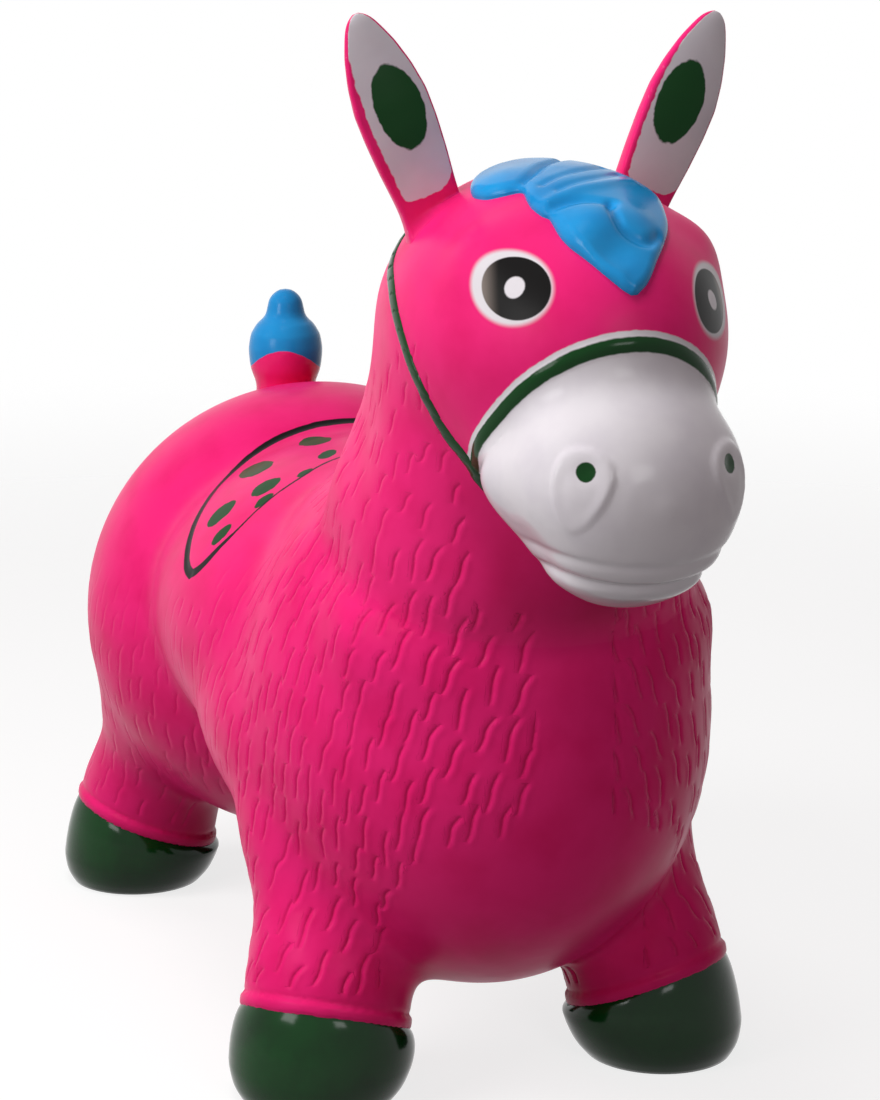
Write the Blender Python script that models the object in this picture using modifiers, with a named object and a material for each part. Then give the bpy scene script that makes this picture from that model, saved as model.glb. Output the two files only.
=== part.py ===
"""Inflatable horse hopper: a hollow PVC skin with four hooves, bending ears and a push-in air plug.

Metres, +Z up. The horse faces -Y, its left side is at +X, and its soles stand on Z = 0.
The skin is one soft form, blended from swelling blobs and limbs, given a wall and cut into its zones.
"""
import math

import bmesh
import bpy
from mathutils import Matrix, Vector
from mathutils.bvhtree import BVHTree

# Skin
SKIN_WALL = 0.0020
SEAM_GAP = 0.0003
BLEND_VOXEL = 0.0060
BLEND_PASSES = 24
SKIN_FACES = 2400

# Chest, barrel and rump, the three swellings of the body: half sizes, length position and height
CHEST_HALF_WIDTH = 0.1165
CHEST_HALF_LENGTH = 0.1400
CHEST_HALF_HEIGHT = 0.1410
CHEST_Y = -0.0685
CHEST_Z = 0.1830
BARREL_HALF_WIDTH = 0.1250
BARREL_HALF_LENGTH = 0.1840
BARREL_HALF_HEIGHT = 0.0940
BARREL_Y = 0.0490
BARREL_Z = 0.2020
RUMP_HALF_WIDTH = 0.1350
RUMP_HALF_LENGTH = 0.1215
RUMP_HALF_HEIGHT = 0.1305
RUMP_Y = 0.1820
RUMP_Z = 0.1770
WAIST_Y = 0.0400

# Neck and head
NECK_FOOT_Y = -0.1240
NECK_FOOT_Z = 0.3000
NECK_FOOT_RADIUS = 0.0880
NECK_TOP_Y = -0.1500
NECK_TOP_Z = 0.3850
NECK_TOP_RADIUS = 0.0750
NECK_SEAM_Y = -0.1140
NECK_SEAM_Z = 0.2780
NECK_SEAM_TILT = math.radians(21.0)
HEAD_HALF_WIDTH = 0.0770
HEAD_HALF_LENGTH = 0.1130
HEAD_HALF_HEIGHT = 0.0765
HEAD_Y = -0.1612
HEAD_Z = 0.3830
HEAD_TILT = math.radians(-6.3)

# Muzzle, with the plane where the white starts and the throat behind it
MUZZLE_HALF_WIDTH = 0.0555
MUZZLE_HALF_LENGTH = 0.0490
MUZZLE_HALF_HEIGHT = 0.0525
MUZZLE_Y = -0.2550
MUZZLE_Z = 0.3283
MUZZLE_TILT = math.radians(-6.9)
MUZZLE_SEAM_Y = -0.2400
MUZZLE_SEAM_Z = 0.3600
MUZZLE_SEAM_TILT = math.radians(39.0)
THROAT_Y = -0.2190

# Legs and hooves: soles, radii and heights, then where each limb grows out of the body
SOLE_X = 0.0920
FRONT_SOLE_Y = -0.1020
REAR_SOLE_Y = 0.2545
HOOF_RADIUS = 0.0445
HOOF_SOLE_RADIUS = 0.0380
HOOF_CHAMFER = 0.0080
HOOF_WALL = 0.0025
HOOF_HEIGHT = 0.0395
HOOF_LEAN_IN = math.radians(8.0)
HOOF_LEAN_TO_BELLY = math.radians(6.0)
HOOF_SEAM_OUT = math.radians(15.0)
HOOF_SEAM_AHEAD = math.radians(17.0)
HOOF_SEAM_OUT_REAR = math.radians(20.0)
HOOF_SEAM_BEHIND_REAR = math.radians(5.0)
ANKLE_RADIUS = 0.0425
SHIN_RADIUS = 0.0385
SHIN_HEIGHT = 0.0920
FRONT_ROOT_RADIUS = 0.0540
FRONT_ROOT_X = 0.0660
FRONT_ROOT_Y = -0.0620
FRONT_ROOT_Z = 0.1300
REAR_ROOT_RADIUS = 0.0590
REAR_ROOT_X = 0.0700
REAR_ROOT_Y = 0.1900
REAR_ROOT_Z = 0.1500
LEG_SEAM_RADIUS = 0.0520
LEG_SEAM_HEIGHT = 0.1180

# Ears: where they stand on the head, how they splay, and the round root that they bend about
EAR_X = 0.0505
EAR_Y = -0.1470
EAR_SPLAY = math.radians(24.5)
EAR_LENGTH = 0.0990
EAR_HALF_WIDTH = 0.0215
EAR_HALF_THICK = 0.0090
EAR_DISH = 0.0060
EAR_WALL = 0.0020
EAR_ROOT_RADIUS = 0.0205
EAR_ROOT_DEPTH = 0.0085
EAR_CLEARANCE = 0.0005

# Forelock, a raised tuft that hangs from the poll down the forehead and to one side
FORELOCK_THICK = 0.0065
FORELOCK_POLL_Y = -0.1400
FORELOCK_TIP_Y = -0.2650
FORELOCK_HALF_WIDTH = 0.0320
FORELOCK_LEAN = -0.0090

# Tail: a pink stub on the croup and a coloured tuft with a ball end
TAIL_Y = 0.2460
TAIL_STUB_RADIUS = 0.0195
TAIL_STUB_HEIGHT = 0.0260
TAIL_TUFT_RADIUS = 0.0215
TAIL_TUFT_HEIGHT = 0.0410
TAIL_BALL_RADIUS = 0.0110

# Air valve under the belly
VALVE_Y = 0.0760
VALVE_SEAT_RADIUS = 0.0095
VALVE_SEAT_HEIGHT = 0.0110
VALVE_BORE_RADIUS = 0.0042
VALVE_LIP = 0.0010
PLUG_HEAD_RADIUS = 0.0078
PLUG_HEAD_HEIGHT = 0.0022
PLUG_STEM_LENGTH = 0.0095
PLUG_CLEARANCE = 0.0003

# Facets
BLOB_SEGMENTS = 48
TURNED_STEPS = 24
BALL_STEPS = 20
SOCKET_STEPS = 32
LEAF_STEPS = 18
VALVE_STEPS = 20

# Far past the skin, for cutters that only use one face
REACH = 1.0

PINK = (0.86, 0.03, 0.24)
WHITE = (0.80, 0.79, 0.82)
GREEN = (0.004, 0.055, 0.018)
BLUE = (0.035, 0.33, 0.72)
NATURAL = (0.75, 0.74, 0.70)

LEFT = 1
RIGHT = -1
SIDES = {"left": LEFT, "right": RIGHT}


def clear_scene():
    for old in list(bpy.data.objects):
        bpy.data.objects.remove(old, do_unlink=True)


def make_collection(name):
    collection = bpy.data.collections.new(name)
    bpy.context.scene.collection.children.link(collection)
    return collection


def make_material(name, colour, roughness):
    material = bpy.data.materials.new(name)
    material.use_nodes = True
    shader = material.node_tree.nodes["Principled BSDF"]
    shader.inputs["Base Color"].default_value = (*colour, 1.0)
    shader.inputs["Roughness"].default_value = roughness
    shader.inputs["Metallic"].default_value = 0.0
    return material


def add_part(name, mesh, material):
    part = bpy.data.objects.new(name, mesh)
    mesh.materials.clear()
    mesh.materials.append(material)
    parts.objects.link(part)
    return part


def add_cutter(name, mesh):
    cutter = bpy.data.objects.new(name, mesh)
    cutter.hide_render = True
    cutter.display_type = "WIRE"
    cutters.objects.link(cutter)
    return cutter


def mesh_from(name, shape):
    mesh = bpy.data.meshes.new(name)
    shape.to_mesh(mesh)
    shape.free()
    return mesh


def evaluated_mesh(source):
    bpy.context.view_layer.update()
    return bpy.data.meshes.new_from_object(source.evaluated_get(bpy.context.evaluated_depsgraph_get()))


def boolean(part, cutter, operation="DIFFERENCE"):
    cut = part.modifiers.new(cutter.name, "BOOLEAN")
    cut.object = cutter
    cut.operation = operation
    cut.solver = "EXACT"
    cut.use_self = True


def add_ellipsoid(shape, centre, half_sizes, tilt=0.0):
    place = Matrix.Translation(centre) @ Matrix.Rotation(tilt, 4, "X") @ Matrix.Diagonal((*half_sizes, 1.0))
    bmesh.ops.create_uvsphere(
        shape, u_segments=BLOB_SEGMENTS, v_segments=BLOB_SEGMENTS // 2, radius=1.0, matrix=place
    )


def add_limb(shape, points, radii):
    """A swelling tube along points, with its own radius at each."""
    curve = bpy.data.curves.new("limb", "CURVE")
    curve.dimensions = "3D"
    curve.bevel_depth = 1.0
    curve.bevel_resolution = 6
    curve.use_fill_caps = True
    spline = curve.splines.new("POLY")
    spline.points.add(len(points) - 1)
    for knot, point, radius in zip(spline.points, points, radii):
        knot.co = (*point, 1.0)
        knot.radius = radius
    limb = bpy.data.objects.new("limb", curve)
    cutters.objects.link(limb)
    mesh = evaluated_mesh(limb)
    shape.from_mesh(mesh)
    bpy.data.objects.remove(limb, do_unlink=True)
    bpy.data.meshes.remove(mesh)
    bmesh.ops.remove_doubles(shape, verts=shape.verts, dist=0.00001)


def half_space(name, point, normal):
    """A large block whose near face passes through point and that fills the side that normal points to."""
    shape = bmesh.new()
    turn = Vector((0.0, 0.0, 1.0)).rotation_difference(Vector(normal)).to_matrix().to_4x4()
    place = Matrix.Translation(point) @ turn @ Matrix.Translation((0.0, 0.0, REACH / 2))
    bmesh.ops.create_cube(shape, size=REACH, matrix=place)
    return add_cutter(name, mesh_from(name, shape))


def seam_pair(name, point, normal):
    """Two blocks on either side of a flat seam, half a seam gap past it each, to cut away one side or the other."""
    normal = Vector(normal).normalized()
    point = Vector(point)
    ahead = half_space(name + "_ahead", point - normal * SEAM_GAP / 2, normal)
    behind = half_space(name + "_behind", point + normal * SEAM_GAP / 2, -normal)
    return ahead, behind


def column(name, x, y, bottom, top, radius, steps):
    shape = bmesh.new()
    place = Matrix.Translation((x, y, (bottom + top) / 2))
    bmesh.ops.create_cone(
        shape, cap_ends=True, segments=steps, radius1=radius, radius2=radius, depth=top - bottom, matrix=place
    )
    return add_cutter(name, mesh_from(name, shape))


def ball_cutter(name, centre, radius, steps):
    shape = bmesh.new()
    bmesh.ops.create_uvsphere(
        shape, u_segments=steps, v_segments=steps // 2, radius=radius, matrix=Matrix.Translation(centre)
    )
    return add_cutter(name, mesh_from(name, shape))


def turned(name, profile, steps, material):
    """A profile of (radius, height) points, running down its outer side and closed on the axis, spun about Z."""
    mesh = bpy.data.meshes.new(name)
    points = [(radius, 0.0, height) for radius, height in profile]
    mesh.from_pydata(points, [(i, i + 1) for i in range(len(points) - 1)], [])
    part = add_part(name, mesh, material)
    spin = part.modifiers.new("spin", "SCREW")
    spin.steps = steps
    spin.render_steps = steps
    spin.use_merge_vertices = True
    spin.merge_threshold = 0.00001
    return part


def arc(centre, radius, start, end, count):
    """Points (radius, height) along an arc of a turned profile; angles in degrees from straight out, upwards."""
    points = []
    for i in range(count + 1):
        angle = math.radians(start + (end - start) * i / count)
        points.append((centre[0] + radius * math.cos(angle), centre[1] + radius * math.sin(angle)))
    return points


def hoof_lean(end, side):
    """A shear that leans a hoof's upper part in under the body, with its sole left flat."""
    towards_belly = 1.0 if end == "front" else -1.0
    lean = Matrix.Identity(4)
    lean[0][2] = -side * math.tan(HOOF_LEAN_IN)
    lean[1][2] = towards_belly * math.tan(HOOF_LEAN_TO_BELLY)
    return lean


def leg_points(end):
    """The limb's line from inside its hoof up into the body, for the left side."""
    if end == "front":
        sole_y = FRONT_SOLE_Y
        root = Vector((FRONT_ROOT_X, FRONT_ROOT_Y, FRONT_ROOT_Z))
        root_radius = FRONT_ROOT_RADIUS
    else:
        sole_y = REAR_SOLE_Y
        root = Vector((REAR_ROOT_X, REAR_ROOT_Y, REAR_ROOT_Z))
        root_radius = REAR_ROOT_RADIUS
    sole = Vector((SOLE_X, sole_y, 0.0))
    foot = hoof_lean(end, LEFT) @ Vector((0.0, 0.0, -HOOF_HEIGHT)) + sole
    ankle = hoof_lean(end, LEFT) @ Vector((0.0, 0.0, HOOF_HEIGHT * 1.3)) + sole
    shin = ankle.lerp(root, 0.38)
    shin.z = SHIN_HEIGHT
    return [foot, ankle, shin, root], [ANKLE_RADIUS, ANKLE_RADIUS, SHIN_RADIUS, root_radius]


def make_form():
    """The outside of the whole skin but its ears and tail, as one closed mesh."""
    shape = bmesh.new()
    add_ellipsoid(shape, (0, CHEST_Y, CHEST_Z), (CHEST_HALF_WIDTH, CHEST_HALF_LENGTH, CHEST_HALF_HEIGHT))
    add_ellipsoid(shape, (0, BARREL_Y, BARREL_Z), (BARREL_HALF_WIDTH, BARREL_HALF_LENGTH, BARREL_HALF_HEIGHT))
    add_ellipsoid(shape, (0, RUMP_Y, RUMP_Z), (RUMP_HALF_WIDTH, RUMP_HALF_LENGTH, RUMP_HALF_HEIGHT))
    add_ellipsoid(shape, (0, HEAD_Y, HEAD_Z), (HEAD_HALF_WIDTH, HEAD_HALF_LENGTH, HEAD_HALF_HEIGHT), HEAD_TILT)
    add_ellipsoid(
        shape, (0, MUZZLE_Y, MUZZLE_Z), (MUZZLE_HALF_WIDTH, MUZZLE_HALF_LENGTH, MUZZLE_HALF_HEIGHT), MUZZLE_TILT
    )
    neck_foot = (0, NECK_FOOT_Y, NECK_FOOT_Z)
    neck_top = (0, NECK_TOP_Y, NECK_TOP_Z)
    add_ellipsoid(shape, neck_foot, (NECK_FOOT_RADIUS, NECK_FOOT_RADIUS, NECK_FOOT_RADIUS))
    add_ellipsoid(shape, neck_top, (NECK_TOP_RADIUS, NECK_TOP_RADIUS, NECK_TOP_RADIUS))
    add_limb(shape, [neck_foot, neck_top], [NECK_FOOT_RADIUS, NECK_TOP_RADIUS])
    for end in ("front", "rear"):
        points, radii = leg_points(end)
        for side in SIDES.values():
            add_limb(shape, [(side * p.x, p.y, p.z) for p in points], radii)
            root = points[-1]
            add_ellipsoid(shape, (side * root.x, root.y, root.z), (radii[-1], radii[-1], radii[-1]))
    blobs = add_cutter("blobs", mesh_from("blobs", shape))
    blend = blobs.modifiers.new("blend", "REMESH")
    blend.mode = "VOXEL"
    blend.voxel_size = BLEND_VOXEL
    soften = blobs.modifiers.new("soften", "SMOOTH")
    soften.factor = 0.5
    soften.iterations = BLEND_PASSES
    thin = blobs.modifiers.new("thin", "DECIMATE")
    faces = len(evaluated_mesh(blobs).polygons) * 2
    thin.ratio = SKIN_FACES / faces
    form = evaluated_mesh(blobs)
    form.name = "form"
    return form


def grown_form(name, growth):
    cutter = add_cutter(name, form.copy())
    grow = cutter.modifiers.new("grow", "DISPLACE")
    grow.strength = growth
    grow.mid_level = 0.0
    return cutter


def surface_height(x, y, from_below=False):
    start = Vector((x, y, -REACH if from_below else REACH))
    hit = form_tree.ray_cast(start, Vector((0, 0, 1 if from_below else -1)))
    return hit[0].z


def skin_zone(name, material):
    zone = add_part(name, form.copy(), material)
    wall = zone.modifiers.new("wall", "SOLIDIFY")
    wall.thickness = SKIN_WALL
    wall.offset = -1.0
    wall.use_even_offset = True
    return zone


def hoof_seam(end, side):
    """A point on the seam over a hoof, and the seam's upward normal: it rises outwards, and away from the belly."""
    if end == "front":
        rise_out = math.tan(HOOF_SEAM_OUT)
        rise_y = -math.tan(HOOF_SEAM_AHEAD)
        sole_y = FRONT_SOLE_Y
    else:
        rise_out = math.tan(HOOF_SEAM_OUT_REAR)
        rise_y = math.tan(HOOF_SEAM_BEHIND_REAR)
        sole_y = REAR_SOLE_Y
    return Vector((side * SOLE_X, sole_y, HOOF_HEIGHT)), Vector((-side * rise_out, -rise_y, 1.0)).normalized()


def make_legs(chest, rump):
    for end, trunk in (("front", chest), ("rear", rump)):
        sole_y = FRONT_SOLE_Y if end == "front" else REAR_SOLE_Y
        for side_name, side in SIDES.items():
            place = end + "_" + side_name
            point, normal = hoof_seam(end, side)
            above, below = seam_pair("seam_hoof_" + place, point, normal)
            inside = column(
                "leg_keep_" + place, side * SOLE_X, sole_y, -2 * HOOF_HEIGHT, LEG_SEAM_HEIGHT - SEAM_GAP / 2,
                LEG_SEAM_RADIUS - SEAM_GAP / 2, TURNED_STEPS,
            )
            outside = column(
                "leg_cut_" + place, side * SOLE_X, sole_y, -2 * HOOF_HEIGHT, LEG_SEAM_HEIGHT + SEAM_GAP / 2,
                LEG_SEAM_RADIUS + SEAM_GAP / 2, TURNED_STEPS,
            )
            boolean(trunk, outside)
            leg = skin_zone("leg_" + place, pink_skin)
            boolean(leg, inside, "INTERSECT")
            boolean(leg, below)
            make_hoof("hoof_" + place, (side * SOLE_X, sole_y, 0.0), hoof_lean(end, side), above)


def make_hoof(name, place, lean, above):
    """A cup with a flat sole, a chamfered lower edge and bulging sides, cut along its slanted seam."""
    rim = HOOF_HEIGHT + LEG_SEAM_RADIUS
    inner = HOOF_RADIUS - HOOF_WALL
    sole = HOOF_WALL
    profile = [
        (ANKLE_RADIUS - HOOF_WALL, rim),
        (ANKLE_RADIUS, rim),
        (HOOF_RADIUS, HOOF_HEIGHT * 0.9),
        (HOOF_RADIUS + 0.0006, HOOF_HEIGHT * 0.5),
        (HOOF_RADIUS - 0.0008, HOOF_CHAMFER),
        (HOOF_SOLE_RADIUS + (HOOF_RADIUS - HOOF_SOLE_RADIUS) * 0.62, HOOF_CHAMFER * 0.35),
        (HOOF_SOLE_RADIUS, 0.0),
        (0.0, 0.0),
        (0.0, sole),
        (HOOF_SOLE_RADIUS - HOOF_WALL * 0.4, sole),
        (inner - 0.0008, HOOF_CHAMFER + HOOF_WALL * 0.4),
        (inner, HOOF_HEIGHT * 0.9),
        (ANKLE_RADIUS - HOOF_WALL, rim),
    ]
    cup = turned(name + "_cup", profile, TURNED_STEPS, green_skin)
    mesh = evaluated_mesh(cup)
    bpy.data.objects.remove(cup, do_unlink=True)
    mesh.transform(lean)
    hoof = add_part(name, mesh, green_skin)
    hoof.location = place
    boolean(hoof, above)


def make_trunk():
    ahead, behind = seam_pair("seam_waist", (0, WAIST_Y, 0), (0, -1, 0))
    neck_normal = (0, -math.sin(NECK_SEAM_TILT), math.cos(NECK_SEAM_TILT))
    above, below = seam_pair("seam_neck", (0, NECK_SEAM_Y, NECK_SEAM_Z), neck_normal)
    chest = skin_zone("chest", pink_skin)
    boolean(chest, behind)
    boolean(chest, above)
    rump = skin_zone("rump", pink_skin)
    boolean(rump, ahead)
    neck = skin_zone("neck_and_head", pink_skin)
    boolean(neck, below)
    return chest, rump, neck


def make_muzzle(neck):
    """The white of the nose: all that lies ahead of a slanted plane over the nose and of the throat under the jaw."""
    normal = Vector((0, -math.cos(MUZZLE_SEAM_TILT), -math.sin(MUZZLE_SEAM_TILT)))
    point = Vector((0, MUZZLE_SEAM_Y, MUZZLE_SEAM_Z))
    throat = Vector((0, THROAT_Y, 0))
    for name, shift in (("muzzle_keep", SEAM_GAP / 2), ("muzzle_cut", -SEAM_GAP / 2)):
        nose = half_space(name, point + normal * shift, normal)
        behind = half_space(name + "_throat", throat + Vector((0, -shift, 0)), (0, 1, 0))
        boolean(nose, behind)
        if name == "muzzle_cut":
            boolean(neck, nose)
        else:
            muzzle = skin_zone("muzzle", white_skin)
            boolean(muzzle, nose, "INTERSECT")


def ear_frame(side):
    """Where an ear stands on the head, the centre that its root bends about, and the line that the ear follows."""
    poll = (surface_height(EAR_X, EAR_Y) + surface_height(-EAR_X, EAR_Y)) / 2
    foot = Vector((side * EAR_X, EAR_Y, poll))
    axis = Vector((side * math.sin(EAR_SPLAY), 0.0, math.cos(EAR_SPLAY)))
    return foot, foot - axis * EAR_ROOT_DEPTH, axis


def leaf(shape, half_width, half_thick, bottom, top):
    """A pointed leaf along Z, dished on the side that faces -Y: a sphere drawn out, narrowed to its tip and hollowed."""
    bmesh.ops.create_uvsphere(shape, u_segments=LEAF_STEPS, v_segments=LEAF_STEPS // 2 + 3, radius=1.0)
    for v in shape.verts:
        x, y, z = v.co
        narrow = 1.0 - 0.30 * max(z, 0.0) ** 2 - 0.12 * max(-z, 0.0) ** 4
        dish = EAR_DISH * (1.0 - x * x) * (1.0 - z * z) if y < 0 else 0.0
        v.co = (
            half_width * narrow * x,
            half_thick * narrow * y + dish,
            (top + bottom) / 2 + (top - bottom) / 2 * z,
        )


def make_ears(neck):
    for side_name, side in SIDES.items():
        foot, centre, axis = ear_frame(side)
        turn = Matrix.Rotation(side * EAR_SPLAY, 4, "Y")
        top = EAR_LENGTH + EAR_ROOT_DEPTH
        shape = bmesh.new()
        leaf(shape, EAR_HALF_WIDTH, EAR_HALF_THICK, 0.0, top)
        ear = add_part("ear_" + side_name, mesh_from("ear_" + side_name, shape), pink_skin)
        root = ball_cutter("ear_root_" + side_name, (0, 0, 0), EAR_ROOT_RADIUS, BALL_STEPS)
        inner_leaf = bmesh.new()
        leaf(inner_leaf, EAR_HALF_WIDTH - EAR_WALL, EAR_HALF_THICK - EAR_WALL, 0.0, top - 4 * EAR_WALL)
        hollow = add_cutter("ear_hollow_" + side_name, mesh_from("ear_hollow", inner_leaf))
        inner_ball = ball_cutter("ear_root_hollow_" + side_name, (0, 0, 0), EAR_ROOT_RADIUS - EAR_WALL, BALL_STEPS)
        mouth = half_space("ear_mouth_" + side_name, (0, 0, -EAR_ROOT_RADIUS * 0.55), (0, 0, -1))
        for piece in (ear, root, hollow, inner_ball, mouth):
            piece.matrix_world = Matrix.Translation(centre) @ turn
        boolean(ear, root, "UNION")
        boolean(ear, inner_ball)
        boolean(ear, hollow)
        boolean(ear, mouth)
        socket = ball_cutter("ear_socket_" + side_name, centre, EAR_ROOT_RADIUS + EAR_CLEARANCE, SOCKET_STEPS)
        boolean(neck, socket)
        print("ear hinge", side_name, [round(c, 5) for c in centre], "axis", [round(c, 5) for c in turn.col[0][:3]])


def make_forelock():
    """A tuft cut from a thicker layer of the head's own form, inside an outline seen from above."""
    length = FORELOCK_POLL_Y - FORELOCK_TIP_Y
    curve = bpy.data.curves.new("forelock_outline", "CURVE")
    curve.dimensions = "2D"
    curve.fill_mode = "BOTH"
    curve.extrude = HEAD_HALF_HEIGHT
    curve.resolution_u = 4
    outline = [
        (-0.30, 0.02), (0.45, 0.02), (0.85, 0.22), (1.00, 0.52), (0.80, 0.80), (0.15, 1.00),
        (-0.30, 0.84), (-0.62, 0.62), (-0.55, 0.46), (-0.90, 0.38), (-0.80, 0.22),
    ]
    spline = curve.splines.new("BEZIER")
    spline.bezier_points.add(len(outline) - 1)
    for knot, (across, along) in zip(spline.bezier_points, outline):
        x = FORELOCK_LEAN + across * FORELOCK_HALF_WIDTH
        knot.co = (x, FORELOCK_POLL_Y - along * length, HEAD_Z + HEAD_HALF_HEIGHT)
        knot.handle_left_type = "AUTO"
        knot.handle_right_type = "AUTO"
    spline.use_cyclic_u = True
    sketch = bpy.data.objects.new("forelock_outline", curve)
    cutters.objects.link(sketch)
    mesh = evaluated_mesh(sketch)
    bpy.data.objects.remove(sketch, do_unlink=True)
    shape = bmesh.new()
    shape.from_mesh(mesh)
    bmesh.ops.remove_doubles(shape, verts=shape.verts, dist=0.00001)
    shape.to_mesh(mesh)
    shape.free()
    forelock = add_part("forelock", mesh, blue_skin)
    boolean(forelock, grown_form("forelock_top", FORELOCK_THICK), "INTERSECT")
    boolean(forelock, skin_clearance)


def make_tail():
    base = surface_height(0.0, TAIL_Y)
    seam = TAIL_STUB_HEIGHT
    top = seam + TAIL_TUFT_HEIGHT
    ball = top - TAIL_BALL_RADIUS
    stub = turned(
        "tail_stub",
        [
            (0.0, seam - SEAM_GAP / 2),
            (TAIL_STUB_RADIUS * 0.86, seam - SEAM_GAP / 2),
            (TAIL_STUB_RADIUS, seam * 0.72),
            (TAIL_STUB_RADIUS, seam * 0.45),
            (TAIL_STUB_RADIUS * 0.90, seam * 0.15),
            (TAIL_STUB_RADIUS * 1.05, -TAIL_STUB_RADIUS * 1.2),
            (0.0, -TAIL_STUB_RADIUS * 1.2),
        ],
        TURNED_STEPS, pink_skin,
    )
    stub.location = (0.0, TAIL_Y, base)
    boolean(stub, skin_clearance)
    tuft = turned(
        "tail_tuft",
        arc((0.0, ball), TAIL_BALL_RADIUS, 90, 0, 4)
        + [
            (TAIL_BALL_RADIUS * 0.96, ball - TAIL_BALL_RADIUS * 0.35),
            (TAIL_TUFT_RADIUS * 0.80, seam + TAIL_TUFT_HEIGHT * 0.42),
            (TAIL_TUFT_RADIUS, seam + TAIL_TUFT_HEIGHT * 0.16),
            (TAIL_TUFT_RADIUS * 0.97, seam + TAIL_TUFT_HEIGHT * 0.05),
            (TAIL_STUB_RADIUS * 0.90, seam + SEAM_GAP / 2),
            (0.0, seam + SEAM_GAP / 2),
        ],
        TURNED_STEPS, blue_skin,
    )
    tuft.location = (0.0, TAIL_Y, base)


def make_valve(rump):
    """A thick ring set through the belly skin and the flanged plug that is pulled down out of it."""
    skin = surface_height(0.0, VALVE_Y, from_below=True)
    hole = column(
        "valve_hole", 0.0, VALVE_Y, skin - VALVE_SEAT_HEIGHT, skin + 2 * VALVE_SEAT_HEIGHT,
        VALVE_SEAT_RADIUS + SEAM_GAP, VALVE_STEPS,
    )
    boolean(rump, hole)
    low = -VALVE_LIP
    high = low + VALVE_SEAT_HEIGHT
    seat = turned(
        "valve_seat",
        [
            (VALVE_BORE_RADIUS, high),
            (VALVE_SEAT_RADIUS * 0.75, high),
            (VALVE_SEAT_RADIUS, high * 0.6),
            (VALVE_SEAT_RADIUS, low + VALVE_LIP * 0.5),
            (VALVE_SEAT_RADIUS * 0.93, low),
            (VALVE_BORE_RADIUS, low),
            (VALVE_BORE_RADIUS, high),
        ],
        VALVE_STEPS, pink_skin,
    )
    seat.location = (0.0, VALVE_Y, skin)
    shoulder = low - PLUG_CLEARANCE
    stem = VALVE_BORE_RADIUS - PLUG_CLEARANCE
    plug = turned(
        "valve_plug",
        [
            (0.0, shoulder + PLUG_STEM_LENGTH),
            (stem * 0.80, shoulder + PLUG_STEM_LENGTH),
            (stem, shoulder + PLUG_STEM_LENGTH * 0.80),
            (stem, shoulder),
            (PLUG_HEAD_RADIUS, shoulder),
            (PLUG_HEAD_RADIUS, shoulder - PLUG_HEAD_HEIGHT * 0.6),
            (PLUG_HEAD_RADIUS * 0.85, shoulder - PLUG_HEAD_HEIGHT),
            (0.0, shoulder - PLUG_HEAD_HEIGHT),
        ],
        VALVE_STEPS, natural_plastic,
    )
    plug.location = (0.0, VALVE_Y, skin)
    print("valve skin height", round(skin, 5))


def shade_round_pieces():
    for part in parts.objects:
        part.data.shade_smooth()
        part.data.set_sharp_from_angle(angle=math.radians(35))


clear_scene()
parts = make_collection("horse_hopper")
cutters = make_collection("cutters")
pink_skin = make_material("pink_pvc", PINK, 0.32)
white_skin = make_material("white_paint", WHITE, 0.28)
green_skin = make_material("green_paint", GREEN, 0.22)
blue_skin = make_material("blue_paint", BLUE, 0.34)
natural_plastic = make_material("natural_plug", NATURAL, 0.40)

form = make_form()
form_tree = BVHTree.FromPolygons([v.co for v in form.vertices], [list(f.vertices) for f in form.polygons])
skin_clearance = grown_form("skin_clearance", SEAM_GAP)

chest_zone, rump_zone, neck_zone = make_trunk()
make_muzzle(neck_zone)
make_legs(chest_zone, rump_zone)
make_ears(neck_zone)
make_forelock()
make_tail()
make_valve(rump_zone)
shade_round_pieces()
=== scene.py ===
from math import cos, pi, radians, sin, tan

import bpy
import numpy as np
from mathutils import Matrix, Vector
from mathutils.bvhtree import BVHTree
from mathutils.kdtree import KDTree


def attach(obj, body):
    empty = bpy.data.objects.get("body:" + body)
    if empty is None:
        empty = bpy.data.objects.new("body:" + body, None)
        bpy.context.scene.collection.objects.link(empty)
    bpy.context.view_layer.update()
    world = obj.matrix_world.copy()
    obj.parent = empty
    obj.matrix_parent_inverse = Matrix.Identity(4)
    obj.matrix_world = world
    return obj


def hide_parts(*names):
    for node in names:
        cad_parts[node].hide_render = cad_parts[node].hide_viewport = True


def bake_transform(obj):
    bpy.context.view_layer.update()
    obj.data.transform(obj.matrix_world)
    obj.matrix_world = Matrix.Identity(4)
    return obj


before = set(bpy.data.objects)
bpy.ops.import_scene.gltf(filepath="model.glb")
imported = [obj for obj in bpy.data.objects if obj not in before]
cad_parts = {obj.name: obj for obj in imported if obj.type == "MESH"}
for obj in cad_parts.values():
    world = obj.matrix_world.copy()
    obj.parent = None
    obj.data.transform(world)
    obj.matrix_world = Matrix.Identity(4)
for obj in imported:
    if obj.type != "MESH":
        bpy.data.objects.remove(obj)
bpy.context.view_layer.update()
mm = 0.001  # shapes below are worked out in millimetres, in the frame of the CAD
sides = {"left": 1, "right": -1}  # the animal's own left is +X
farOff = 99.0  # mm, the distance given to points that a painted shape doesn't reach
overhead = 700  # mm, a height above the whole animal


def hexColour(code):
    parts = [int(code[i:i + 2], 16) / 255 for i in (1, 3, 5)]
    return [c / 12.92 if c <= 0.04045 else ((c + 0.055) / 1.055) ** 2.4 for c in parts] + [1.0]


def setInputs(mat, node, inputs):
    for socket, value in inputs.items():
        if isinstance(value, bpy.types.NodeSocket):
            mat.node_tree.links.new(value, node.inputs[socket])
        else:
            node.inputs[socket].default_value = value


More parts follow.
